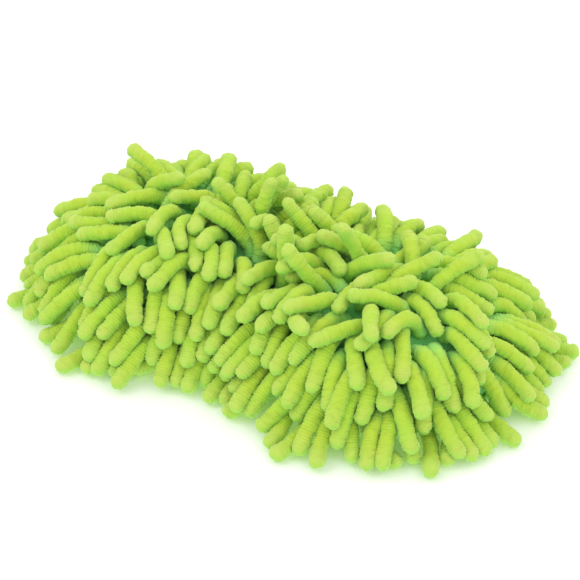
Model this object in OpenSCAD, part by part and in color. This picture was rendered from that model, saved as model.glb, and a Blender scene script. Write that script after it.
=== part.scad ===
// Figure-eight chenille wash pad: a foam core in a cloth cover, with rows of soft
// fingers over its crown and sides and an elastic hand strap across its flat back.
// +X runs along the pad, +Y across it and +Z up from the back that it rests on.

/* [Pad] */
// Distance from the middle of the pad to the middle of each lobe
lobe_x = 51; // [46:0.5:56]
// Radius of each lobe
lobe_r = 50; // [46:0.5:54]
// Half of the width at the waist
waist_w = 37; // [33:0.5:41]
// Height of the lobes at their crowns
crown_h = 38; // [34:0.5:44]
// Height of the saddle between the lobes
saddle_h = 33; // [29:0.5:34]
// How square the shoulders are: 2 is an ellipse
shoulder = 2.4; // [2:0.1:3]

/* [Cover] */
// Thickness of the cloth that carries the fingers
cover_t = 1.0; // [0.6:0.1:1.6]
// Thickness of the panel that closes the back
panel_t = 1.0; // [0.6:0.1:1.6]
// Width of the binding tape as it stands on the ground
binding_h = 5.0; // [4:0.5:6]
// How far the binding tape stands out from the cover
binding_t = 2.2; // [1.6:0.2:3]

/* [Fingers] */
// Thickness of a finger
finger_d = 6.8; // [5.6:0.2:6.8]
// Length of a finger along its middle, root to tip
finger_len = 37; // [28:0.5:37]
// Distance between the rows, on the cloth as it was cut
row_pitch = 7.4; // [7.4:0.2:11]
// Distance between the fingers of a row
finger_pitch = 8.6; // [8.6:0.2:12]
// Height of the lowest roots
lowest_root = 9.5; // [9.5:0.5:12]

/* [Hand strap] */
// Width of the elastic
strap_w = 38; // [30:1:39]
// Thickness of the elastic
strap_t = 1.5; // [1:0.1:1.8]
// How far each end is sewn in from the seam
strap_sewn = 9; // [8:0.5:12]
// Length of one stitch of the thread
stitch = 2.2; // [1.8:0.1:2.6]

/* [Hidden] */
$fn = 32;

// Room between pieces that lie against each other
gap = 0.15;
// Room between the fixed and the moving stretches of the elastic
strap_gap = 0.3;
// Thickness of the sewing thread
thread = 0.3;
// Height of the elastic's lower face, with the thread below it clear of the ground
strap_z = 0.7;
// Depth of the hollow across the back that the elastic lies in, with room over it
strap_room = 0.4;
hollow = strap_z + strap_t + strap_room;
// The hollow is at full depth to the first of these distances, and ends at the second
hollow_in = strap_w / 2 + 1;
hollow_out = hollow_in + 7;
// The cover starts this high, just above the panel
cover_z = panel_t + gap;
// The panel and the elastic's ends stop this far inside the seam, clear of the cover
panel_inset = cover_t + 2 * gap;
// Each finger stands this far off the cloth at the middle of its root
finger_lift = 0.4;

// The waist is an arc that touches both lobes
waist_r = (lobe_x * lobe_x + waist_w * waist_w - lobe_r * lobe_r) / (2 * (lobe_r - waist_w));
touch_x = lobe_x * waist_r / (lobe_r + waist_r);

// Steps round a quarter of a lobe, along one side, and up from the seam to the crown
quarter = 10;
side = 20;
around = 4 * quarter + 2 * side;
rise = 12;

// Radius that the cloth was cut to, wider than the lobes because it also goes up their sides
cut_r = lobe_r * 1.35;
// Share of the way from the spine to the seam, along the cloth, that has fingers
lowest_t = acos(pow((lowest_root - cover_z) / (crown_h - cover_z), shoulder / 2));
covered = atan(pow(tan(lowest_t), 2 / shoulder)) / 90;
// Rows each side of the middle one, and fingers each side of the middle of a row
row_side = ceil((lobe_x + cut_r * covered) / row_pitch) - 1;
rows = 2 * row_side + 1;
finger_side = ceil(cut_r / finger_pitch);

// The crown is where the dome faces up more steeply than this
crown_up = 60;
// How far a finger falls over on the spine, where the crown ends, at most on the sides,
// and at the least
spine_fall = 70;
crown_fall = 82;
side_fall = 64;
least_fall = 12;
// The lowest fingers lie this far above the ground
ground_room = 0.8;
// Fingers higher than this above the lowest lie on the ones below, this much less low
// for each millimetre that their roots are higher
layer_h = 3;
layer_share = 1.05;

function two_digits(n) = str(n < 10 ? "0" : "", n);

// Half of the pad's width where its spine is at x, for lobes of radius r
function half_width(x, r) =
    let (a = abs(x), w = waist_w + r - lobe_r)
    a > touch_x ? sqrt(max(0, r * r - (a - lobe_x) * (a - lobe_x)))
                : w + waist_r - sqrt(waist_r * waist_r - a * a);

// Height of the crown where the spine is at x
function spine_h(x) = saddle_h + (crown_h - saddle_h) * (1 - cos(180 * abs(x) / lobe_x)) / 2;

// One direction round the pad, from its +X tip: [x on the spine, angle, reach in plan]
function direction(i) =
    i > around / 2 ? let (d = direction(around - i)) [d[0], -d[1], d[2]] :
    i <= quarter ? [lobe_x, 90 * i / quarter, lobe_r] :
    i >= quarter + side ? [-lobe_x, 90 + 90 * (i - quarter - side) / quarter, lobe_r] :
    let (x = lobe_x * (1 - 2 * (i - quarter) / side)) [x, 90, half_width(x, lobe_r)];

// A point of the dome, where t is 0 on the spine and 90 at the seam
function dome(d, t, inset, base) =
    let (r = (d[2] - inset) * pow(sin(t), 2 / shoulder),
         z = base + (spine_h(d[0]) - inset - base) * pow(cos(t), 2 / shoulder))
    [d[0] + r * cos(d[1]), r * sin(d[1]), z];

// A ring of the dome
function dome_ring(t, inset, base) =
    [for (i = [0:around - 1]) dome(direction(i), t, inset, base)];

// How far the back is hollowed where x is
function hollow_at(x) =
    hollow * min(1, max(0, (hollow_out - abs(x)) / (hollow_out - hollow_in)));

// A ring of the back, which dips up into the hollow
function back_ring(inset, z) =
    [for (i = [0:around - 1])
        let (d = direction(i), x = d[0] + (d[2] - inset) * cos(d[1]))
        [x, (d[2] - inset) * sin(d[1]), z + hollow_at(x)]];

// Angles of the dome's rings, from the seam to just short of the spine
last_t = 3;
rise_angles = [for (k = [0:rise]) 90 - (90 - last_t) * k / rise];

// The faces between each ring and the next
function walls(rings) =
    [for (k = [0:rings - 2], i = [0:around - 1])
        let (j = (i + 1) % around, a = k * around, b = a + around)
        each [[a + i, b + j, a + j], [a + i, b + i, b + j]]];

// The face that closes a ring, in strips across the pad, seen from above or from below
function strips(ring, from_above) =
    [for (i = [0:around / 2 - 1])
        let (a = i, b = i + 1, c = (around - b) % around, e = (around - a) % around)
        each concat(
            a == e ? [] : [turned([a, b, e], from_above, ring)],
            b == c ? [] : [turned([b, c, e], from_above, ring)])];

function turned(face, from_above, ring) =
    let (f = [for (n = face) ring * around + n]) from_above ? [f[0], f[2], f[1]] : f;

// Closed skin through a list of rings that runs from the lowest to the highest
module lofted(rings) {
    n = len(rings);
    polyhedron(
        [for (r = rings) each r],
        concat(walls(n), strips(n - 1, true), strips(0, false)),
        convexity = 6);
}

// Closed skin through rings whose last one meets the first
module looped(rings) {
    n = len(rings);
    faces = walls(n + 1);
    polyhedron(
        [for (r = rings) each r],
        [for (f = faces) [for (p = f) p % (n * around)]],
        convexity = 6);
}

// ---- the pad ----

// The block of foam that fills the cover, hollowed under the elastic
module foam_core() {
    inset = cover_t + gap;
    base = cover_z + gap;
    color("khaki") lofted(concat(
        [back_ring(inset, base)],
        [for (k = [1:rise]) dome_ring(rise_angles[k], inset, base)]));
}

// The cloth over the foam, open below
module cover_cloth() {
    color("limegreen") looped(concat(
        [for (t = rise_angles) dome_ring(t, 0, cover_z)],
        [for (k = [rise:-1:0]) dome_ring(rise_angles[k], cover_t, cover_z)]));
}

// The flat panel that closes the back and that the pad rests on
module underside_panel() {
    color("olivedrab") lofted([back_ring(panel_inset, 0), back_ring(panel_inset, panel_t)]);
}

// The tape that binds the cover's edge to the panel's, in eight-sided section
module seam_binding() {
    mid_r = binding_t / 2;
    mid_z = binding_h / 2;
    low = 0.25;
    color("yellowgreen") looped([for (a = [22.5:45:359])
        [for (i = [0:around - 1])
            let (d = direction(i), r = d[2] + gap + mid_r - mid_r * cos(a) / cos(22.5))
            [d[0] + r * cos(d[1]), r * sin(d[1]), low + mid_z + mid_z * sin(a) / cos(22.5)]]]);
}

// ---- the hand strap ----

// The stretch of elastic that a hand goes under, which lifts away from the back
module strap_band() {
    free = 2 * (waist_w - strap_sewn) - 2 * strap_gap;
    color("darkgreen") translate([-strap_w / 2, -free / 2, strap_z]) cube([strap_w, free, strap_t]);
}

// An end of the elastic, cut to the curve of the seam that it is caught in
module strap_end() {
    steps = 10;
    outer = [for (k = [0:steps])
        let (x = strap_w * (k / steps - 0.5)) [x, half_width(x, lobe_r) - panel_inset]];
    inner = waist_w - strap_sewn;
    color("darkgreen") translate([0, 0, strap_z]) linear_extrude(strap_t)
        polygon(concat([[strap_w / 2, inner], [-strap_w / 2, inner]], outer));
}

module strap_end_left() { strap_end(); }

module strap_end_right() { mirror([0, 1, 0]) strap_end(); }

// Thread laid in stitches from the origin along +X, under the elastic
module stitches(long) {
    step = long / round(long / (1.5 * stitch));
    long_stitch = step * 2 / 3;
    clear = 0.02;
    for (x = [0:step:long - step / 2])
        translate([x + (step - long_stitch) / 2, -thread / 2, strap_z - thread - clear])
            cube([long_stitch, thread, thread]);
}

// The box of stitches that holds one end, with a line across its middle
module stitch_box() {
    edge_x = 3;
    edge_y = 1.8;
    wide = strap_w - 2 * edge_x;
    deep = strap_sewn - 2 * edge_y;
    near = waist_w - strap_sewn + edge_y;
    color("honeydew") {
        for (y = [0, deep / 2, deep]) translate([-wide / 2, near + y, 0]) stitches(wide);
        for (x = [-1, 1])
            translate([x * (wide / 2 + thread), near + thread, 0])
                rotate([0, 0, 90]) stitches(deep - 2 * thread);
    }
}

module strap_stitches_left() { stitch_box(); }

module strap_stitches_right() { mirror([0, 1, 0]) stitch_box(); }

// ---- the fingers ----

// The dome's angle t at a share of the way from the spine to the seam, along the cloth
function angle_at(share) = share < 1 ? atan(pow(tan(90 * share), shoulder / 2)) : 90;

// Where a finger stands on the dome: [direction, t], from its place on the cut cloth
function root_place(a, b) =
    abs(a) <= lobe_x
        ? let (cut = half_width(a, lobe_r) + cut_r - lobe_r)
          [[a, b < 0 ? -90 : 90, half_width(a, lobe_r)], angle_at(abs(b) / cut)]
        : let (s = a > 0 ? lobe_x : -lobe_x, rho = norm([a - s, b]))
          [[s, atan2(b, a - s), lobe_r], angle_at(rho / cut_r)];

// How steeply the dome faces up where t is: 90 on the spine, 0 at the seam
function facing_up(d, t) =
    let (e = 0.5, p = dome(d, max(t - e, 0.01), 0, cover_z), q = dome(d, t + e, 0, cover_z))
    90 - atan2(p[2] - q[2], norm([q[0] - p[0], q[1] - p[1]]));

// A finger from the origin: straight up at its root, and bent over towards +X by an angle.
// Its rounded tip is a little thinner, and sunk into it, so that the two join cleanly.
module finger(bend) {
    r = finger_d / 2;
    cap_r = r - 0.1;
    sunk = 0.6;
    arc_r = (finger_len - r) / (bend * PI / 180);
    tip = 3;
    translate([arc_r, 0, 0]) rotate([90, 0, 0]) rotate([0, 0, 180 - bend])
        rotate_extrude(angle = bend) translate([arc_r, 0]) circle(r);
    translate([arc_r * (1 - cos(bend)), 0, arc_r * sin(bend)]) rotate([0, bend, 0])
        rotate_extrude() polygon(concat([[0, -sunk], [cap_r, -sunk]],
            [for (k = [0:tip]) cap_r * [cos(90 * k / tip), sin(90 * k / tip)]]));
}

// How far a finger falls over: more the further it is from the spine, and on the sides
// only as far as the ground and the fingers below leave room
function fall(z, up) =
    let (below = layer_share * max(0, z - lowest_root - layer_h),
         room = (z - finger_d / 2 - ground_room - below) / finger_len)
    up > crown_up ? spine_fall + (crown_fall - spine_fall) * (90 - up) / (90 - crown_up)
                  : max(least_fall, min(side_fall, 2 * (up + asin(min(1, max(0, room))))));

// One row, straight across the cloth as it was cut
module finger_row(n) {
    from_middle = n - 1 - row_side;
    a = from_middle * row_pitch;
    stagger = from_middle % 2 == 0 ? 0.5 : 0;
    color("greenyellow") for (k = [-finger_side:finger_side]) {
        place = root_place(a, (k + stagger) * finger_pitch);
        d = place[0];
        t = place[1];
        if (t < 90) {
            root = dome(d, t, 0, cover_z);
            if (root[2] > lowest_root) {
                up = facing_up(d, t);
                translate(root) rotate([0, 0, d[1]]) rotate([0, 90 - up, 0])
                    translate([0, 0, finger_lift]) finger(fall(root[2], up));
            }
        }
    }
}

foam_core();
cover_cloth();
underside_panel();
seam_binding();
strap_band();
strap_end_left();
strap_end_right();
strap_stitches_left();
strap_stitches_right();
for (n = [1:rows])
    finger_row(n);
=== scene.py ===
import math

import bmesh
import bpy
import numpy as np
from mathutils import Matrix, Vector


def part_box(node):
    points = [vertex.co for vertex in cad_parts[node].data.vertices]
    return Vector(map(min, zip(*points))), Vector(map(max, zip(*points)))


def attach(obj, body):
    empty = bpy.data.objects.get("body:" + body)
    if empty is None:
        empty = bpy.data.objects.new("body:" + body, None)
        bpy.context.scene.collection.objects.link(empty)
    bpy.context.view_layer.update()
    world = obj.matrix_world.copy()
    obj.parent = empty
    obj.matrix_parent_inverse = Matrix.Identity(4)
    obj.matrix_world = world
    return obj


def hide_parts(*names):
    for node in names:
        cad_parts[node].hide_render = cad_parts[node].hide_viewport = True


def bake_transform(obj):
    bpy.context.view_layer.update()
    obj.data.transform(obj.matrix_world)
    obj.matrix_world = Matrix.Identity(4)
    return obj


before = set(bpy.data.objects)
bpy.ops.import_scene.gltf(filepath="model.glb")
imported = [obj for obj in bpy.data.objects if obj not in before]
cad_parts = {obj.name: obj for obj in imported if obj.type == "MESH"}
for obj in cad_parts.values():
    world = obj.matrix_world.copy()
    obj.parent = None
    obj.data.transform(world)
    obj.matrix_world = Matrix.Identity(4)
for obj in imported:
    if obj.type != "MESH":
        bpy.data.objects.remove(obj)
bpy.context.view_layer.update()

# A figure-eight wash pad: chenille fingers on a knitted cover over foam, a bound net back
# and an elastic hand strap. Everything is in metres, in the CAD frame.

MM = 0.001


# ---- sizes read from the frame ----

def node_points(node):
    """The points of a CAD node's mesh."""
    return np.array([v.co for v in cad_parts[node].data.vertices], float)


# The cover: two round lobes joined by a waist, under a dome.
COVER = node_points("cover_cloth")
LOBE_R = float(COVER[:, 1].max())
LOBE_X = float(COVER[:, 0].max()) - LOBE_R
CROWN = float(COVER[:, 2].max())
SADDLE = float(COVER[np.abs(COVER[:, 0]) < 1 * MM, 2].max())
BASE = float(COVER[:, 2].min())
WAIST = float(COVER[np.abs(COVER[:, 0]) < 1 * MM, 1].max())
SHOULDER = 2.4  # how square the shoulders are; 2 is an ellipse
SEAM_SHARE = 0.967  # how much of the way from the seam to the spine the rings of a dome go
COVER_T = 1.0 * MM
PANEL_T = 1.0 * MM
GAP = 0.15 * MM  # between the cover and what lies against it
WAIST_R = (LOBE_X**2 + WAIST**2 - LOBE_R**2) / (2 * (LOBE_R - WAIST))
TOUCH_X = LOBE_X * WAIST_R / (LOBE_R + WAIST_R)  # where the waist's curve meets a lobe's

# The back: a panel with a hollow for the strap.
PANEL_INSET = LOBE_X + LOBE_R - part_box("underside_panel")[1].x
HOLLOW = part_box("underside_panel")[1].z - PANEL_T
STRAP_LOW, STRAP_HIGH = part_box("strap_band")
HOLLOW_IN = STRAP_HIGH.x + 1 * MM
HOLLOW_OUT = HOLLOW_IN + 7 * MM

# The fingers, and the points of the path that each one follows.
FINGER_T = 7.0 * MM
FINGER_LONG = 39.5 * MM
FINGER_POINTS = 9
RIB_PITCH = 1.3 * MM
ROOT_ROOM = 9.2 * MM  # the room that a root takes from its neighbours
FINGER_ROWS = sorted(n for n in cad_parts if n.startswith("finger_row_"))


# ---- the camera ----

def add_camera():
    """Looks down along the pad from its front right, as the object is usually shown."""
    azimuth, elevation = math.radians(-58.66), math.radians(36.36)
    distance, focal, film_wide = 1.044, 146.43, 36
    middle = Vector((0, 0, 30 * MM))
    aim_right, aim_down = 1.6 * MM, 8.5 * MM
    towards = Vector((
        math.cos(elevation) * math.cos(azimuth),
        math.cos(elevation) * math.sin(azimuth),
        math.sin(elevation)))
    right = (-towards).cross(Vector((0, 0, 1))).normalized()
    up = right.cross(-towards)
    aim = middle + right * aim_right - up * aim_down
    camera = bpy.data.objects.new("camera", bpy.data.cameras.new("camera"))
    bpy.context.collection.objects.link(camera)
    camera.location = middle + towards * distance
    camera.rotation_euler = (aim - camera.location).to_track_quat("-Z", "Y").to_euler()
    camera.data.sensor_width = film_wide
    camera.data.lens = focal
    bpy.context.scene.camera = camera


# ---- the shape of the pad ----

def half_width(x):
    """Half of the pad's width where its spine is at x."""
    a = np.minimum(np.abs(x), LOBE_X)
    lobe = np.sqrt(np.maximum(LOBE_R**2 - (a - LOBE_X) ** 2, MM**2))
    waist = WAIST + WAIST_R - np.sqrt(np.maximum(WAIST_R**2 - a * a, MM**2))
    return np.where(a > TOUCH_X, lobe, waist)


def crown_height(x):
    """Height of the crown where the spine is at x."""
    share = np.minimum(1, np.abs(x) / LOBE_X)
    return SADDLE + (CROWN - SADDLE) * (1 - np.cos(np.pi * share)) / 2


def dome_level(p, grown):
    """1 on the dome grown by a distance, and less inside it."""
    s = np.clip(p[..., 0], -LOBE_X, LOBE_X)
    out = np.hypot(p[..., 0] - s, p[..., 1]) / (half_width(s) + grown)
    up = np.maximum(p[..., 2] - BASE, 0) / (crown_height(s) - BASE + grown)
    return out**SHOULDER + up**SHOULDER


def dome_slope(p, grown):
    """The gradient of dome_level, which points outwards."""
    step = 0.05 * MM
    sides = []
    for axis in range(3):
        e = np.zeros(3)
        e[axis] = step
        sides.append(dome_level(p + e, grown) - dome_level(p - e, grown))
    return np.stack(sides, -1) / (2 * step)


def directions(quarter, side):
    """Directions round the pad, anticlockwise from its +X tip: (spine x, angle, reach)."""
    half = [(LOBE_X, math.pi / 2 * i / quarter, LOBE_R) for i in range(quarter)]
    for i in range(side + 1):
        x = LOBE_X * (1 - 2 * i / side)
        half.append((x, math.pi / 2, float(half_width(x))))
    half += [(-LOBE_X, math.pi / 2 * (1 + i / quarter), LOBE_R) for i in range(1, quarter + 1)]
    return half + [(x, -angle, reach) for x, angle, reach in half[-2:0:-1]]


def dome_angles(rise):
    """Angles from the seam up towards the spine, for dome_point."""
    return [math.pi / 2 * (1 - SEAM_SHARE * k / rise) for k in range(rise + 1)]


def dome_point(way, t, inset=0.0):
    """A point of the dome, where t is 0 on the spine and 90 degrees at the seam."""
    x, angle, reach = way
    r = (reach - inset) * math.sin(t) ** (2 / SHOULDER)
    z = BASE + (float(crown_height(x)) - inset - BASE) * max(math.cos(t), 0) ** (2 / SHOULDER)
    return x + r * math.cos(angle), r * math.sin(angle), z


# ---- meshes ----

def add_mesh(name, points, faces, material):
    """A new smooth mesh object at the origin."""
    mesh = bpy.data.meshes.new(name)
    mesh.from_pydata([tuple(p) for p in points], [], faces)
    mesh.validate()
    mesh.polygons.foreach_set("use_smooth", [True] * len(mesh.polygons))
    mesh.materials.append(material)
    piece = bpy.data.objects.new(name, mesh)
    bpy.context.collection.objects.link(piece)
    return piece


def mesh_points(piece):
    """The points of a piece's mesh."""
    return np.array([v.co for v in piece.data.vertices])


def ring_walls(rings, around, closed=False):
    """Quads between each ring of points and the next, and from the last to the first if closed."""
    return [
        (k * around + i, k * around + (i + 1) % around,
         (k + 1) % rings * around + (i + 1) % around, (k + 1) % rings * around + i)
        for k in range(rings if closed else rings - 1) for i in range(around)]


def ring_cap(ring, around, from_above):
    """Quads across a ring, in strips from one side of the pad to the other."""
    faces = []
    for i in range(around // 2):
        a, b = i, i + 1
        c, d = (around - b) % around, (around - a) % around
        corners = [n for k, n in enumerate((a, b, c, d)) if n not in (a, b, c, d)[:k]]
        face = tuple(ring * around + n for n in corners)
        faces.append(face if from_above else face[::-1])
    return faces


def outwards(piece):
    """Turns a closed piece's faces outwards, after its doubles are merged."""
    mesh = bmesh.new()
    mesh.from_mesh(piece.data)
    bmesh.ops.remove_doubles(mesh, verts=mesh.verts, dist=0.001 * MM)
    bmesh.ops.recalc_face_normals(mesh, faces=mesh.faces)
    mesh.to_mesh(piece.data)
    mesh.free()
    return piece


def keep_modifiers(piece):
    """Makes the result of a piece's modifiers its mesh, and removes them."""
    graph = bpy.context.evaluated_depsgraph_get()
    made = bpy.data.meshes.new_from_object(piece.evaluated_get(graph))
    piece.modifiers.clear()
    piece.data = made


def finish_piece(piece, slot, *nodes):
    """Makes a piece ride on the pad and stand for CAD nodes, which it hides; the slot is not used.
    """
    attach(piece, "pad")
    if nodes:
        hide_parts(*nodes)


# ---- how the fingers lie ----

def loose_parts(node):
    """The points of each separate solid of a CAD node."""
    mesh = bmesh.new()
    mesh.from_mesh(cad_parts[node].data)
    bmesh.ops.remove_doubles(mesh, verts=mesh.verts, dist=0.01 * MM)
    mesh.verts.ensure_lookup_table()
    seen, parts = set(), []
    for start in mesh.verts:
        if start.index in seen:
            continue
        seen.add(start.index)
        todo, part = [start], []
        while todo:
            vert = todo.pop()
            part.append(tuple(vert.co))
            for edge in vert.link_edges:
                other = edge.other_vert(vert)
                if other.index not in seen:
                    seen.add(other.index)
                    todo.append(other)
        parts.append(np.array(part))
    mesh.free()
    return parts


def unit(v):
    """The vectors at a length of 1."""
    return v / (np.linalg.norm(v, axis=-1, keepdims=True) + 1e-12)


def on_dome(points):
    """The points moved onto the dome's surface, which takes two steps along its slope."""
    for _ in range(2):
        slope = dome_slope(points, 0)
        size = np.linalg.norm(slope, axis=1, keepdims=True)
        points = points - slope / size * ((dome_level(points, 0) - 1)[:, None] / size)
    return points


def finger_roots():
    """Where each finger stands on the cover, which way is out there, and its row.

    A finger starts at its CAD finger's root, and is then spread from its neighbours.
    """
    root_end, rounds, share = 1.0 * MM, 60, 0.2
    roots, rows = [], []
    for row, node in enumerate(FINGER_ROWS):
        for part in loose_parts(node):
            slope = dome_slope(part, 0)
            above = (dome_level(part, 0) - 1) / np.linalg.norm(slope, axis=1)
            roots.append(part[above < above.min() + root_end].mean(0))
            rows.append(row)
    roots = on_dome(np.array(roots))
    lowest = roots[:, 2].min()
    for _ in range(rounds):
        between = roots[:, None] - roots[None]
        apart = np.linalg.norm(between, axis=-1) + np.eye(len(roots))
        short = np.clip(ROOT_ROOM - apart, 0, None) / apart
        np.fill_diagonal(short, 0)
        roots = on_dome(roots + share * (between * short[..., None]).sum(1))
        roots[:, 2] = np.maximum(roots[:, 2], lowest)
    return roots, unit(dome_slope(roots, 0)), np.array(rows)


def near_pairs(x, reach):
    """Pairs of points of different fingers that are within reach of each other."""
    count, points, _ = x.shape
    flat = x.reshape(-1, 3).astype(np.float32)
    own = np.repeat(np.arange(count), points)
    square = (flat * flat).sum(1)
    apart = square[:, None] + square[None] - 2 * flat @ flat.T
    i, j = np.nonzero(np.triu(apart < reach * reach, 1))
    keep = (own[i] != own[j]) & ((i % points > 0) | (j % points > 0))
    return i[keep], j[keep]


def push_apart(x, pairs, wide):
    """Moves points of different fingers apart where they are closer than wide."""
    share = 0.3  # of the overlap, for each of the two points
    flat = x.reshape(-1, 3)
    i, j = pairs
    between = flat[i] - flat[j]
    apart = np.linalg.norm(between, axis=1) + 1e-9
    short = np.maximum(wide - apart, 0)
    hit = short > 0
    i, j = i[hit], j[hit]
    move = between[hit] * (share * short[hit] / apart[hit])[:, None]
    total = np.stack([
        np.bincount(i, move[:, k], len(flat)) - np.bincount(j, move[:, k], len(flat))
        for k in range(3)], 1)
    hits = np.bincount(i, minlength=len(flat)) + np.bincount(j, minlength=len(flat))
    return (flat + total / np.maximum(hits * 0.5, 1)[:, None]).reshape(x.shape)


def push_out(x, grown):
    """Moves points that are inside the dome grown by a distance out to its surface."""
    most = 3 * MM  # in one go
    slope = dome_slope(x, grown)
    size = np.linalg.norm(slope, axis=-1, keepdims=True) + 1e-9
    depth = np.clip((1 - dome_level(x, grown))[..., None] / size, 0, most)
    return x + slope / size * depth


def draped_fingers(roots, out):
    """Lets straight fingers fall under their weight, against each other, the pad and the floor."""
    random = np.random.default_rng(11)
    shortest, longest = -0.11, 0.05  # shares off FINGER_LONG
    lean, most_curl, curl_r = 0.32, 1.2, 60 * MM
    steps, rounds, pairs_every = 260, 5, 6
    weight, bending, root_hold, slowing = 0.045 * MM, 0.5, 0.62, 0.9
    touch, look_out, fastest = FINGER_T * 0.95, 3 * MM, 2 * MM
    thin, grown_by = 0.35, 0.4  # fingers start thin, and are full at this share of the steps
    count, radius = len(roots), FINGER_T / 2
    on_pad, on_floor = radius * 0.95, radius + 0.4 * MM
    long = FINGER_LONG * (1 + random.uniform(shortest, longest, count))
    seg = ((long - radius) / (FINGER_POINTS - 1))[:, None]
    stand = unit(out + random.normal(0, lean, (count, 3)))
    x = roots[:, None] + stand[:, None] * (seg * np.arange(FINGER_POINTS))[..., None]
    v = np.zeros_like(x)
    bent = unit(random.normal(0, 1, (count, 3))) * random.uniform(0, most_curl, (count, 1)) ** 2
    bent *= seg * seg / curl_r
    first = roots + stand * seg
    pairs = None
    for step in range(steps):
        wide = touch * min(1, thin + (1 - thin) * step / (steps * grown_by))
        before = x.copy()
        x = x + v * slowing
        x[:, 1:, 2] -= weight
        if step % pairs_every == 0:
            pairs = near_pairs(x, touch + look_out)
        for _ in range(rounds):
            # bending: each point goes towards the middle of its neighbours, with its own curl
            along = unit(x[:, 2:] - x[:, :-2])
            curl = bent[:, None] - (bent[:, None] * along).sum(-1, keepdims=True) * along
            straight = 0.5 * (x[:, :-2] + x[:, 2:]) - x[:, 1:-1] - curl
            x[:, 1:-1] += bending * 0.5 * straight
            x[:, :-2] -= bending * 0.25 * straight
            x[:, 2:] -= bending * 0.25 * straight
            # the root stays, and the first segment is held towards where it stood
            x[:, 0] = roots
            x[:, 1] += root_hold * (first - x[:, 1])
            # length: every second segment, and then the others
            for start in (0, 1):
                a = x[:, start : FINGER_POINTS - 1 : 2]
                b = x[:, start + 1 :: 2]
                gone = b - a
                length = np.linalg.norm(gone, axis=-1, keepdims=True) + 1e-12
                fix = gone * (1 - seg[:, None] / length) * 0.5
                a += fix
                b -= fix
            x = push_apart(x, pairs, wide)
            x[:, 1:] = push_out(x[:, 1:], on_pad)
            x[:, 1:, 2] = np.maximum(x[:, 1:, 2], on_floor)
            x[:, 0] = roots
        v = x - before
        speed = np.linalg.norm(v, axis=-1, keepdims=True)
        v *= np.minimum(1, fastest / np.maximum(speed, 1e-9))
    return x


# ---- Geometry Nodes ----

class Nodes:
    """Short ways to add to a node tree."""

    def __init__(self, tree):
        self.tree = tree

    def add(self, kind, values=None, **settings):
        """A node with settings, and values or links for its inputs by name or number."""
        node = self.tree.nodes.new(kind)
        for key, value in settings.items():
            setattr(node, key, value)
        for key, value in (values or {}).items():
            self.put(node.inputs[key], value)
        return node

    def put(self, socket, value):
        """Links a socket to another, or sets its value."""
        if isinstance(value, bpy.types.NodeSocket):
            self.tree.links.new(value, socket)
        else:
            socket.default_value = value

    def math(self, operation, a, b=0.0):
        return self.add("ShaderNodeMath", {0: a, 1: b}, operation=operation).outputs[0]


class SweepTree(Nodes):
    """A Geometry Nodes tree with named inputs, which makes a mesh along paths."""

    def __init__(self, name, sizes):
        super().__init__(bpy.data.node_groups.new(name, "GeometryNodeTree"))
        face = self.tree.interface
        face.new_socket("Paths", in_out="INPUT", socket_type="NodeSocketGeometry")
        for label, value in sizes.items():
            kind = "NodeSocketInt" if isinstance(value, int) else "NodeSocketFloat"
            face.new_socket(label, in_out="INPUT", socket_type=kind).default_value = value
        face.new_socket("Material", in_out="INPUT", socket_type="NodeSocketMaterial")
        face.new_socket("Mesh", in_out="OUTPUT", socket_type="NodeSocketGeometry")
        self.start = self.tree.nodes.new("NodeGroupInput")
        self.end = self.tree.nodes.new("NodeGroupOutput")

    def input(self, label):
        return self.start.outputs[label]

    def random(self, low, high, **inputs):
        """A random value from low to high, by Seed and ID if they are given."""
        return self.add("FunctionNodeRandomValue", {2: low, 3: high, **inputs},
                        data_type="FLOAT").outputs[1]

    def swept(self, curve, sides):
        """A closed tube along a curve, as thick as the curve's radius says."""
        ring = self.add("GeometryNodeCurvePrimitiveCircle", {"Resolution": sides, "Radius": 1.0})
        return self.add("GeometryNodeCurveToMesh", {
            "Curve": curve, "Profile Curve": ring.outputs["Curve"], "Fill Caps": True,
            "Scale": self.add("GeometryNodeInputRadius").outputs[0]}).outputs[0]

    def close(self, mesh):
        """Ends the tree in smooth shading, Realize Instances and Set Material."""
        smooth = self.add("GeometryNodeSetShadeSmooth", {"Geometry": mesh})
        real = self.add("GeometryNodeRealizeInstances", {"Geometry": smooth.outputs[0]})
        painted = self.add("GeometryNodeSetMaterial", {
            "Geometry": real.outputs[0], "Material": self.input("Material")})
        self.put(self.end.inputs[0], painted.outputs[0])


def baked(name, points, edges, nodes, inputs):
    """Runs a tree on paths and returns the result as a plain mesh object."""
    mesh = bpy.data.meshes.new(name + "_paths")
    mesh.from_pydata([tuple(p) for p in points], edges, [])
    source = bpy.data.objects.new(name + "_paths", mesh)
    bpy.context.collection.objects.link(source)
    modifier = source.modifiers.new("nodes", "NODES")
    modifier.node_group = nodes.tree
    for item in nodes.tree.interface.items_tree:
        if item.item_type == "SOCKET" and item.in_out == "INPUT" and item.name in inputs:
            modifier[item.identifier] = inputs[item.name]
    graph = bpy.context.evaluated_depsgraph_get()
    made = bpy.data.meshes.new_from_object(source.evaluated_get(graph))
    made.name = name
    bpy.data.objects.remove(source)
    piece = bpy.data.objects.new(name, made)
    bpy.context.collection.objects.link(piece)
    return piece


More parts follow.
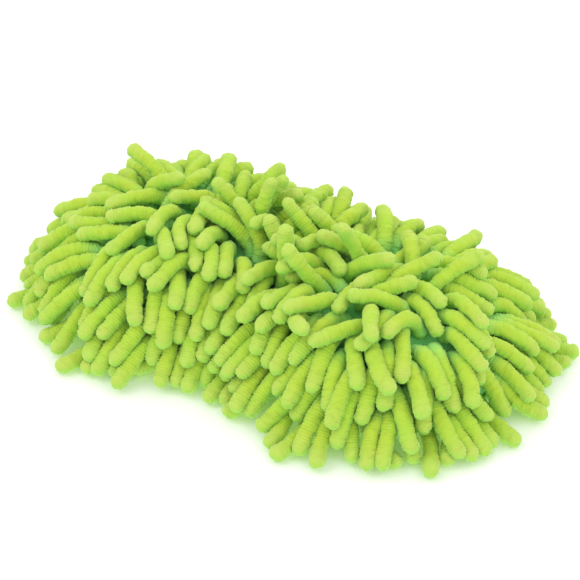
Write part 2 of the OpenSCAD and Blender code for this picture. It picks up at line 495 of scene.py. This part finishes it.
def chenille_tree():
    """Sweeps a ribbed, round-tipped finger along each path."""
    root_long, root_depth = 0.9, 0.65  # the root narrows over less, and not to a point
    least = 0.04  # what is left of the square of a radius at the very tip
    thinnest_rib, deepest_rib, thinnest, stoutest = 0.5, 1.5, 0.9, 1.07  # random shares
    t = SweepTree("Chenille fingers", {
        "Thickness": FINGER_T, "Rib Pitch": RIB_PITCH, "Rib Depth": 0.085,
        "Fuzz": 0.75 * MM, "Fuzz Scale": 620.0, "Lumps": 0.95 * MM, "Lump Scale": 150.0,
        "Sides": 16})
    curve = t.add("GeometryNodeMeshToCurve", {"Mesh": t.input("Paths")}).outputs[0]
    curve = t.add("GeometryNodeCurveSplineType", {"Curve": curve},
                  spline_type="CATMULL_ROM").outputs[0]
    half_rib = t.math("DIVIDE", t.input("Rib Pitch"), 2.0)
    curve = t.add("GeometryNodeResampleCurve", {"Curve": curve, "Length": half_rib},
                  mode="LENGTH").outputs[0]
    place = t.add("GeometryNodeSplineParameter")
    whole = t.add("GeometryNodeSplineLength").outputs["Length"]
    radius = t.math("DIVIDE", t.input("Thickness"), 2.0)

    def rounded(distance, over, depth):
        """1 past a distance, and down to nothing at it along a quarter of an ellipse."""
        left = t.math("SUBTRACT", 1.0, t.math("MINIMUM", t.math("DIVIDE", distance, over), 1.0))
        drop = t.math("MULTIPLY", t.math("MULTIPLY", left, left), depth)
        return t.math("SQRT", t.math("MAXIMUM", t.math("SUBTRACT", 1.0, drop), least))

    tip = rounded(t.math("SUBTRACT", whole, place.outputs["Length"]), radius, 1.0)
    root = rounded(place.outputs["Length"], t.math("MULTIPLY", radius, root_long), root_depth)

    # Every second ring is the valley between two ribs.
    number = t.add("GeometryNodeCurveOfPoint")
    finger = number.outputs["Curve Index"]
    valley = t.math("MODULO", number.outputs["Index in Curve"], 2.0)
    uneven = t.random(thinnest_rib, deepest_rib)
    cut = t.math("MULTIPLY", t.math("MULTIPLY", valley, t.input("Rib Depth")), uneven)
    stout = t.random(thinnest, stoutest, ID=finger)
    thick = t.math("MULTIPLY", t.math("MULTIPLY", radius, stout), t.math("SUBTRACT", 1.0, cut))
    thick = t.math("MULTIPLY", thick, t.math("MULTIPLY", tip, root))
    curve = t.add("GeometryNodeSetCurveRadius", {"Curve": curve, "Radius": thick}).outputs[0]
    tone = t.random(0.0, 1.0, ID=finger, Seed=5)
    for label, value in (("along", place.outputs["Factor"]), ("valley", valley), ("tone", tone)):
        curve = t.add("GeometryNodeStoreNamedAttribute",
                      {"Geometry": curve, "Name": label, "Value": value},
                      data_type="FLOAT", domain="POINT").outputs[0]
    mesh = t.swept(curve, t.input("Sides"))

    # Fuzz and lumps lift the surface in and out along its normal.
    lifts = []
    for high, scale in (("Fuzz", "Fuzz Scale"), ("Lumps", "Lump Scale")):
        noise = t.add("ShaderNodeTexNoise", {"Scale": t.input(scale), "Detail": 1.0})
        lifts.append(t.math("MULTIPLY", t.math("SUBTRACT", noise.outputs["Fac"], 0.5),
                            t.math("MULTIPLY", t.input(high), 2.0)))
    lift = t.math("ADD", *lifts)
    move = t.add("ShaderNodeVectorMath", {0: t.add("GeometryNodeInputNormal").outputs[0],
                                          "Scale": lift}, operation="SCALE").outputs[0]
    t.close(t.add("GeometryNodeSetPosition", {"Geometry": mesh, "Offset": move}).outputs[0])
    return t


def stitch_tree():
    """Lays one bowed stitch of thread at each step along the paths."""
    t = SweepTree("Thread stitches", {
        "Pitch": 3.0 * MM, "Stitch": 2.2 * MM, "Thread": 0.26 * MM, "Bow": 0.1 * MM})
    steps, sides = 4, 6
    end_loss, end_power = 0.75, 3.0  # how much thinner a stitch's ends are, and how suddenly
    curve = t.add("GeometryNodeMeshToCurve", {"Mesh": t.input("Paths")}).outputs[0]
    points = t.add("GeometryNodeCurveToPoints", {"Curve": curve, "Length": t.input("Pitch")},
                   mode="LENGTH")
    turned = t.add("FunctionNodeAlignRotationToVector",
                   {"Vector": points.outputs["Tangent"]}, axis="X").outputs[0]
    half = t.math("DIVIDE", t.input("Stitch"), 2.0)
    back = t.math("MULTIPLY", half, -1.0)
    start = t.add("ShaderNodeCombineXYZ", {"X": back}).outputs[0]
    middle = t.add("ShaderNodeCombineXYZ", {"Z": t.input("Bow")}).outputs[0]
    end = t.add("ShaderNodeCombineXYZ", {"X": half}).outputs[0]
    bow = t.add("GeometryNodeCurveQuadraticBezier",
                {"Resolution": steps, "Start": start, "Middle": middle, "End": end}).outputs[0]
    where = t.add("GeometryNodeSplineParameter").outputs["Factor"]
    off = t.math("ABSOLUTE", t.math("SUBTRACT", t.math("MULTIPLY", where, 2.0), 1.0))
    swell = t.math("SUBTRACT", 1.0,
                   t.math("MULTIPLY", t.math("POWER", off, end_power), end_loss))
    radius = t.math("MULTIPLY", t.math("DIVIDE", t.input("Thread"), 2.0), swell)
    bow = t.add("GeometryNodeSetCurveRadius", {"Curve": bow, "Radius": radius}).outputs[0]
    t.close(t.add("GeometryNodeInstanceOnPoints", {
        "Points": points.outputs["Points"], "Instance": t.swept(bow, sides),
        "Rotation": turned}).outputs[0])
    return t


# ---- materials ----

def linear(red, green, blue):
    """A colour from its 0 to 255 screen values."""
    def one(c):
        c /= 255
        return c / 12.92 if c <= 0.04045 else ((c + 0.055) / 1.055) ** 2.4
    return one(red), one(green), one(blue), 1.0


class Shader(Nodes):
    """Short ways to add to a shader tree, in a material or in a group."""

    def mix(self, share, a, b):
        return self.add("ShaderNodeMix", {0: share, 6: a, 7: b}, data_type="RGBA").outputs[2]

    def ramp(self, value, low, high, to_low=0.0, to_high=1.0):
        return self.add("ShaderNodeMapRange", {
            "Value": value, "From Min": low, "From Max": high,
            "To Min": to_low, "To Max": to_high}, interpolation_type="SMOOTHSTEP").outputs[0]

    def attribute(self, name):
        return self.add("ShaderNodeAttribute", attribute_name=name).outputs["Fac"]

    def place(self):
        return self.add("ShaderNodeTexCoord").outputs["Object"]

    def noise(self, scale, detail):
        return self.add("ShaderNodeTexNoise", {
            "Vector": self.place(), "Scale": scale, "Detail": detail}).outputs["Fac"]


def new_group(name, inputs, outputs):
    """A shader group with named inputs and outputs: (its helper, input node, output node)."""
    tree = bpy.data.node_groups.new(name, "ShaderNodeTree")
    for label, value in inputs.items():
        kind = "NodeSocketColor" if isinstance(value, tuple) else "NodeSocketFloat"
        tree.interface.new_socket(label, in_out="INPUT", socket_type=kind).default_value = value
    for label, kind in outputs.items():
        tree.interface.new_socket(label, in_out="OUTPUT", socket_type="NodeSocket" + kind)
    return Shader(tree), tree.nodes.new("NodeGroupInput"), tree.nodes.new("NodeGroupOutput")


def fibre_group():
    """Soft dyed fibre: two scales of mottling in the colour, and a fuzzy height."""
    s, start, end = new_group("Dyed fibre", {
        "Color": (0.5, 0.5, 0.5, 1.0), "Shade": (0.3, 0.3, 0.3, 1.0), "Mottling": 0.35,
        "Patch Scale": 90.0, "Fibre Scale": 1500.0}, {"Color": "Color", "Height": "Float"})
    patches = s.noise(start.outputs["Patch Scale"], 2.0)
    fibres = s.noise(start.outputs["Fibre Scale"], 3.0)
    mixed = s.math("ADD", s.math("MULTIPLY", patches, 0.45), s.math("MULTIPLY", fibres, 0.55))
    share = s.math("MULTIPLY", s.ramp(mixed, 0.62, 0.36), start.outputs["Mottling"])
    s.put(end.inputs["Color"], s.mix(share, start.outputs["Color"], start.outputs["Shade"]))
    s.put(end.inputs["Height"], fibres)
    return s.tree


def weave_group():
    """Threads that pass over and under each other across X and Y: a height and a hole mask."""
    s, start, end = new_group("Weave", {"Wide X": 1.0 * MM, "Wide Y": 1.0 * MM, "Wander": 0.15},
                              {"Height": "Float", "Hole": "Float"})
    where = s.add("ShaderNodeSeparateXYZ", {0: s.place()})
    wander = s.math("MULTIPLY", s.math("SUBTRACT", s.noise(160.0, 1.0), 0.5),
                    start.outputs["Wander"])
    waves = []
    for axis, wide in (("X", "Wide X"), ("Y", "Wide Y")):
        turns = s.math("ADD", s.math("DIVIDE", where.outputs[axis], start.outputs[wide]), wander)
        waves.append(s.math("SINE", s.math("MULTIPLY", turns, math.tau)))
    both = s.math("MULTIPLY", waves[0], waves[1])
    s.put(end.inputs["Height"], s.math("ADD", s.math("MULTIPLY", both, 0.5), 0.5))
    s.put(end.inputs["Hole"], s.ramp(s.math("MULTIPLY", both, -1.0), 0.35, 0.75))
    return s.tree


def cloth_material(name, color, shade, roughness=0.9, sheen=0.35, tint=(1, 1, 1, 1), bump=0.4,
                   depth=0.3 * MM):
    """A material of dyed fibre: (material, its helper, the shader, the fibre, its bump)."""
    material = bpy.data.materials.new(name)
    material.use_nodes = True
    s = Shader(material.node_tree)
    shader = material.node_tree.nodes["Principled BSDF"]
    shader.inputs["Roughness"].default_value = roughness
    shader.inputs["Sheen Weight"].default_value = sheen
    shader.inputs["Sheen Roughness"].default_value = 0.45
    shader.inputs["Sheen Tint"].default_value = tint
    shader.inputs["Specular IOR Level"].default_value = 0.25
    fibre = s.add("ShaderNodeGroup", {}, node_tree=GROUPS["fibre"])
    s.put(fibre.inputs["Color"], color)
    s.put(fibre.inputs["Shade"], shade)
    bumped = s.add("ShaderNodeBump", {"Strength": bump, "Distance": depth,
                                      "Height": fibre.outputs["Height"]})
    s.put(shader.inputs["Base Color"], fibre.outputs["Color"])
    s.put(shader.inputs["Normal"], bumped.outputs[0])
    return material, s, shader, fibre, bumped


def chenille_material():
    """Lime pile. Painted shade: a light bluish green at the root, greener rib valleys and greener
    sides that face down. The paler, yellower tip is partly the fibre's own colour and partly a
    painted highlight.
    """
    lime, tip = linear(184, 198, 60), linear(194, 200, 104)
    # Painted shade colours: root for the shade between the fingers, valley for the rib valleys;
    # valley also serves the mottling and each finger's random tone
    root, valley = linear(144, 230, 152), linear(152, 210, 68)
    underside_shade = linear(152, 216, 76)
    material, s, shader, fibre, bumped = cloth_material(
        "chenille_pile", lime, valley, roughness=0.92, sheen=0.45, tint=(0.9, 1.0, 0.6, 1),
        bump=0.55, depth=0.35 * MM)
    along = s.attribute("along")
    # Painted shade between the fingers: the root takes a light bluish green, kept light to stand
    # in for the light that bounces there
    color = s.mix(s.ramp(along, 0.02, 0.42), root, lime)
    # Towards the tip the colour turns paler and yellower: partly the fibre's own colour, partly a
    # painted highlight
    color = s.mix(s.ramp(along, 0.62, 1.0, 0.0, 0.8), color, tip)
    color = s.mix(s.math("MULTIPLY", s.attribute("tone"), 0.22), color, valley)
    # Painted shade in the rib valleys: every second ring takes some of the greener valley colour
    color = s.mix(s.math("MULTIPLY", s.attribute("valley"), 0.34), color, valley)
    # Painted shade: the colour turns greener as the normal turns from up to down
    facing = s.add("ShaderNodeSeparateXYZ", {0: s.add("ShaderNodeNewGeometry").outputs["Normal"]})
    color = s.mix(s.ramp(facing.outputs["Z"], 0.55, -0.35, 0.0, 0.75), color, underside_shade)
    s.put(fibre.inputs["Color"], color)
    s.put(fibre.inputs["Mottling"], 0.42)
    s.put(fibre.inputs["Fibre Scale"], 1300.0)
    rib = s.math("MULTIPLY", s.attribute("valley"), -0.6)
    s.put(bumped.inputs["Height"], s.math("ADD", fibre.outputs["Height"], rib))
    return material


def woven_material(name, color, shade, wide_x, wide_y, hole_share, **finish):
    """Cloth with a visible weave, with painted shade in its holes."""
    material, s, shader, fibre, bumped = cloth_material(name, color, shade, **finish)
    weave = s.add("ShaderNodeGroup", {}, node_tree=GROUPS["weave"])
    s.put(weave.inputs["Wide X"], wide_x)
    s.put(weave.inputs["Wide Y"], wide_y)
    in_hole, fuzz = 0.35, 0.4  # how much of the shade colour is left in a hole's painted shade; fibre's share in height
    hole_shade = tuple(c * in_hole for c in shade[:3]) + (1.0,)
    hole = s.math("MULTIPLY", weave.outputs["Hole"], hole_share)
    # The holes are not cut: their darkness is painted shade
    s.put(shader.inputs["Base Color"], s.mix(hole, fibre.outputs["Color"], hole_shade))
    height = s.math("ADD", s.math("MULTIPLY", fibre.outputs["Height"], fuzz),
                    weave.outputs["Height"])
    s.put(bumped.inputs["Height"], height)
    return material


GROUPS = {}
MATERIALS = {}


def make_materials():
    """The groups, and one material for each finish."""
    GROUPS["fibre"] = fibre_group()
    GROUPS["weave"] = weave_group()
    MATERIALS["chenille"] = chenille_material()
    MATERIALS["knit"] = woven_material(
        "cover_knit", linear(124, 208, 118), linear(92, 176, 92), 2.2 * MM, 1.6 * MM, 0.25,
        bump=0.5, depth=0.3 * MM)
    MATERIALS["mesh"] = woven_material(
        "mesh_net", linear(126, 180, 70), linear(84, 140, 56), 2.6 * MM, 2.6 * MM, 0.9,
        bump=0.8, depth=0.5 * MM)
    MATERIALS["tape"] = woven_material(
        "binding_tape", linear(138, 196, 66), linear(104, 164, 58), 0.9 * MM, 0.9 * MM, 0.3,
        bump=0.5, depth=0.15 * MM)
    MATERIALS["elastic"] = woven_material(
        "woven_elastic", linear(92, 150, 60), linear(62, 112, 48), 1.9 * MM, 1.1 * MM, 0.35,
        bump=0.5, depth=0.2 * MM)
    MATERIALS["foam"] = cloth_material(
        "open_cell_foam", linear(226, 222, 178), linear(176, 168, 118), sheen=0.0, bump=0.9,
        depth=0.6 * MM)[0]
    MATERIALS["thread"] = cloth_material(
        "sewing_thread", linear(190, 216, 120), linear(140, 172, 84), roughness=0.6,
        sheen=0.2, bump=0.3, depth=0.05 * MM)[0]


# ---- the pieces ----

def add_fingers():
    """One plain mesh for each row of fingers."""
    roots, out, rows = finger_roots()
    paths = draped_fingers(roots, out)
    tree = chenille_tree()
    for row, node in enumerate(FINGER_ROWS):
        mine = paths[rows == row]
        points = mine.reshape(-1, 3)
        edges = [(k * FINGER_POINTS + i, k * FINGER_POINTS + i + 1)
                 for k in range(len(mine)) for i in range(FINGER_POINTS - 1)]
        piece = baked("chenille_row_" + node[-2:], points, edges, tree,
                      {"Material": MATERIALS["chenille"]})
        finish_piece(piece, "chenille", node)
    return roots


def add_cover(roots):
    """The knitted cover, dimpled where each finger is sewn to it."""
    puff, puff_r = 0.5 * MM, 3.5 * MM  # how far it swells, and how near a root holds it down
    ways, rise = directions(16, 36), 26
    around, angles = len(ways), dome_angles(rise)
    outer = np.array([[dome_point(w, t) for w in ways] for t in angles]).reshape(-1, 3)
    near = np.linalg.norm(outer[:, None] - roots[None], axis=-1).min(1)
    swollen = puff * (1 - np.exp(-((near / puff_r) ** 2)))
    outer += unit(dome_slope(outer, 0)) * swollen[:, None]
    inner = np.array([[dome_point(w, t, COVER_T) for w in ways] for t in angles]).reshape(-1, 3)
    inner[:around, 2] = BASE
    count = len(outer)
    faces = ring_walls(rise + 1, around) + ring_cap(rise, around, True)
    faces += [tuple(n + count for n in f[::-1]) for f in faces]
    faces += [((i + 1) % around, i, count + i, count + (i + 1) % around) for i in range(around)]
    piece = outwards(add_mesh("knitted_cover", np.vstack([outer, inner]), faces,
                              MATERIALS["knit"]))
    finish_piece(piece, "cover_knit", "cover_cloth")


def hollow_at(x):
    """How far the back is hollowed for the strap, with eased sides."""
    share = np.clip((HOLLOW_OUT - np.abs(x)) / (HOLLOW_OUT - HOLLOW_IN), 0, 1)
    return HOLLOW * share * share * (3 - 2 * share)


def two_sided(name, lower, upper, material):
    """A closed piece between two grids of points of the same shape, with flat walls."""
    columns, rows = lower.shape[:2]
    count = columns * rows
    faces = []
    for c in range(columns - 1):
        for r in range(rows - 1):
            a = c * rows + r
            faces.append((a, a + rows, a + rows + 1, a + 1))
    faces += [tuple(n + count for n in f[::-1]) for f in faces]
    edge = [c * rows for c in range(columns)]
    edge += [(columns - 1) * rows + r for r in range(1, rows)]
    edge += [c * rows + rows - 1 for c in range(columns - 2, -1, -1)]
    edge += list(range(rows - 2, 0, -1))
    for a, b in zip(edge, edge[1:] + edge[:1]):
        faces.append((a, b, b + count, a + count))
    points = np.vstack([lower.reshape(-1, 3), upper.reshape(-1, 3)])
    piece = outwards(add_mesh(name, points, faces, material))
    walls = len(edge)
    piece.data.polygons.foreach_set(
        "use_smooth", [True] * (len(faces) - walls) + [False] * walls)
    return piece


def add_panel():
    """The net panel that closes the back and dips over the strap."""
    quarter, side, rows = 20, 40, 29
    tip = 0.3 * MM  # half of the panel's width where it ends
    half = directions(quarter, side)[: 2 * quarter + side + 1]
    lower = np.zeros((len(half), rows, 3))
    for c, (x, angle, reach) in enumerate(half):
        far = reach - PANEL_INSET
        edge_x, edge_y = x + far * math.cos(angle), max(far * math.sin(angle), tip)
        for r in range(rows):
            lower[c, r] = edge_x, edge_y * (1 - 2 * r / (rows - 1)), 0
    lower[..., 2] = hollow_at(lower[..., 0])
    upper = lower + np.array([0, 0, PANEL_T])
    piece = two_sided("net_panel", lower, upper, MATERIALS["mesh"])
    finish_piece(piece, "mesh_panel", "underside_panel")


def binding_size():
    """The tape's lowest level, and half of its height and of its thickness."""
    low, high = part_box("seam_binding")
    return low.z, (high.z - low.z) / 2, (high.x - LOBE_X - LOBE_R - GAP) / 2


def add_binding():
    """The tape folded round the seam, a little gathered on its outer side."""
    lowest, tall, thick = binding_size()
    ways = directions(48, 96)
    sides, corner = 16, 0.7  # points round the tape; 1 is an ellipse, and less is squarer
    gather_in, gather_up = 0.18, 0.03  # the most that a gather takes off, as shares
    random = np.random.default_rng(3)
    gathers = random.uniform(-1, 1, len(ways))
    gathers = np.abs(gathers + np.roll(gathers, 1) + np.roll(gathers, -1)) / 3
    rings = []
    for k in range(sides):
        turn = 2 * math.pi * k / sides
        across = math.copysign(abs(math.cos(turn)) ** corner, math.cos(turn))
        up = math.copysign(abs(math.sin(turn)) ** corner, math.sin(turn))
        for (x, angle, reach), gather in zip(ways, gathers):
            share = 1 if across > 0 else 1 - gather_in * gather
            r = reach + GAP + thick - thick * across * share
            rings.append((x + r * math.cos(angle), r * math.sin(angle),
                          lowest + tall + tall * up * (1 - gather_up * gather)))
    faces = ring_walls(sides, len(ways), closed=True)
    piece = outwards(add_mesh("binding_tape", rings, faces, MATERIALS["tape"]))
    finish_piece(piece, "binding_tape", "seam_binding")


def add_binding_stitches(stitches):
    """One line of stitches along the outer side of the tape."""
    lowest, tall, thick = binding_size()
    sunk, level = 0.05 * MM, 1.25  # into the tape; the line's level, as a share of tall
    line = []
    for x, angle, reach in directions(48, 96):
        r = reach + GAP + 2 * thick - sunk
        line.append((x + r * math.cos(angle), r * math.sin(angle), lowest + tall * level))
    edges = [(i, (i + 1) % len(line)) for i in range(len(line))]
    piece = baked("binding_stitches", line, edges, stitches, {
        "Material": MATERIALS["thread"], "Pitch": 3.2 * MM, "Stitch": 2.3 * MM})
    finish_piece(piece, "thread")


def add_strap():
    """The ribbed elastic in two halves, each from its sewn end to the middle of the strap."""
    ribs, rib_depth, edge_r, rows = 26, 0.09 * MM, 0.5 * MM, 41
    wide = STRAP_HIGH.x
    thick = (STRAP_HIGH.z - STRAP_LOW.z) / 2
    middle = STRAP_LOW.z + thick
    across = np.linspace(-wide, wide, ribs * 4 + 1)
    rib = rib_depth * np.abs(np.sin(np.pi * ribs * (across / wide + 1) / 2))
    for side, name in ((1, "left"), (-1, "right")):
        end = side * (half_width(across) - PANEL_INSET)
        x, y = np.meshgrid(across, np.linspace(0, 1, rows), indexing="ij")
        y = y * end[:, None]
        edge = np.minimum(1, (wide - np.abs(x)) / edge_r)
        round_off = 0.5 * thick * (1 - np.sqrt(np.clip(1 - (1 - edge) ** 2, 0, 1)))
        ridge = (rib_depth - rib)[:, None] + round_off
        lower = np.stack([x, y, middle - thick + ridge], -1)
        upper = np.stack([x, y, middle + thick - ridge], -1)
        piece = two_sided("hand_strap_" + name, lower, upper, MATERIALS["elastic"])
        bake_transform(piece)
        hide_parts("strap_end_" + name, "strap_band")


def add_strap_stitches(stitches):
    """The box of stitches that holds each end of the elastic."""
    inset, bow = 0.15 * MM, 0.04 * MM
    for name in ("left", "right"):
        node = "strap_stitches_" + name
        low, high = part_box(node)
        z = (low.z + high.z) / 2
        xs = (low.x + inset, high.x - inset)
        ys = (low.y + inset, high.y - inset)
        lines = [((xs[0], y), (xs[1], y)) for y in (ys[0], (ys[0] + ys[1]) / 2, ys[1])]
        lines += [((x, ys[0]), (x, ys[1])) for x in xs]
        points = [(*end, z) for line in lines for end in line]
        edges = [(2 * k, 2 * k + 1) for k in range(len(lines))]
        piece = baked("stitches_" + name, points, edges, stitches, {
            "Material": MATERIALS["thread"], "Bow": bow})
        finish_piece(piece, "thread", node)


def add_foam():
    """The foam block, swollen by simulation to fill the cover."""
    voxel, pressure, frames = 4.5 * MM, 4, 20
    slack, most = 1.5 * MM, 3 * MM  # how far the block may swell, and be pushed back in
    inset, rise = COVER_T + 2 * GAP, 12
    ways = directions(10, 20)
    rings = [np.array([dome_point(w, t, inset + slack) for w in ways])
             for t in dome_angles(rise)]
    rings[0][:, 2] = BASE + GAP + slack + hollow_at(rings[0][:, 0])
    around = len(ways)
    faces = ring_walls(len(rings), around) + ring_cap(len(rings) - 1, around, True)
    faces += ring_cap(0, around, False)
    piece = outwards(add_mesh("foam_pad", np.vstack(rings), faces, MATERIALS["foam"]))
    remesh = piece.modifiers.new("remesh", "REMESH")
    remesh.mode, remesh.voxel_size = "VOXEL", voxel
    keep_modifiers(piece)
    start = mesh_points(piece)
    cloth = piece.modifiers.new("cloth", "CLOTH")
    cloth.settings.use_pressure = True
    cloth.settings.uniform_pressure_force = pressure
    cloth.settings.effector_weights.gravity = 0
    cloth.point_cache.frame_end = frames
    for number in range(1, frames + 1):
        bpy.context.scene.frame_set(number)
    keep_modifiers(piece)
    bpy.context.scene.frame_set(1)

    # The swollen points go no further than the slack, and stay inside the cover and the panel.
    move = mesh_points(piece) - start
    size = np.linalg.norm(move, axis=1, keepdims=True)
    points = start + move * np.minimum(1, slack / np.maximum(size, 1e-9))
    level = dome_level(points, -inset)
    slope = dome_slope(points, -inset)
    steep = np.linalg.norm(slope, axis=1, keepdims=True) + 1e-9
    points -= slope / steep * np.clip((level - 1)[:, None] / steep, 0, most)
    points[:, 2] = np.maximum(points[:, 2], BASE + GAP + hollow_at(points[:, 0]))
    piece.data.vertices.foreach_set("co", points.ravel())
    finer = piece.modifiers.new("subdivision", "SUBSURF")
    finer.levels = finer.render_levels = 1
    keep_modifiers(piece)
    piece.data.polygons.foreach_set("use_smooth", [True] * len(piece.data.polygons))
    finish_piece(piece, "foam", "foam_core")


# ---- the studio ----

def add_floor():
    """A pale floor that is only there for a camera above it, so that the back can be seen."""
    wide, drop = 8, 0.3 * MM
    bpy.ops.mesh.primitive_plane_add(size=wide, location=(0, 0, -drop))
    floor = bpy.context.object
    floor.name = "floor"
    material = bpy.data.materials.new("pale_floor")
    material.use_nodes = True
    s = Shader(material.node_tree)
    shader = material.node_tree.nodes["Principled BSDF"]
    shader.inputs["Base Color"].default_value = (0.93, 0.93, 0.93, 1)
    shader.inputs["Roughness"].default_value = 0.8
    below = s.add("ShaderNodeNewGeometry").outputs["Backfacing"]
    seen = s.add("ShaderNodeLightPath").outputs["Is Camera Ray"]
    clear = s.add("ShaderNodeBsdfTransparent").outputs[0]
    gone = s.math("MAXIMUM", below, s.math("SUBTRACT", 1.0, seen))
    mixed = s.add("ShaderNodeMixShader", {0: gone, 1: shader.outputs[0], 2: clear})
    s.put(material.node_tree.nodes["Material Output"].inputs["Surface"], mixed.outputs[0])
    floor.data.materials.append(material)


def add_light(place, size, power):
    """A round lamp that is aimed at the middle of the pad."""
    light = bpy.data.lights.new("softbox", "AREA")
    light.shape, light.size, light.energy = "DISK", size, power
    lamp = bpy.data.objects.new("softbox", light)
    bpy.context.collection.objects.link(lamp)
    lamp.location = place
    aim = Vector((0, 0, 20 * MM)) - Vector(place)
    lamp.rotation_euler = aim.to_track_quat("-Z", "Y").to_euler()


def add_studio():
    """The floor, a key lamp, two weaker ones and a white world."""
    add_floor()
    add_light((-0.55, -0.65, 1.1), size=0.8, power=2.4)
    add_light((0.9, -0.3, 0.9), size=0.9, power=1.2)
    add_light((0.1, 0.9, 0.8), size=0.9, power=1.4)
    world = bpy.data.worlds.new("studio")
    bpy.context.scene.world = world
    world.use_nodes = True
    background = world.node_tree.nodes["Background"]
    background.inputs["Color"].default_value = (1, 1, 1, 1)
    background.inputs["Strength"].default_value = 1.2
    bpy.context.scene.view_settings.view_transform = "Standard"


add_camera()
make_materials()
thread_stitches = stitch_tree()
finger_places = add_fingers()
add_foam()
add_cover(finger_places)
add_panel()
add_binding()
add_binding_stitches(thread_stitches)
add_strap()
add_strap_stitches(thread_stitches)
add_studio()
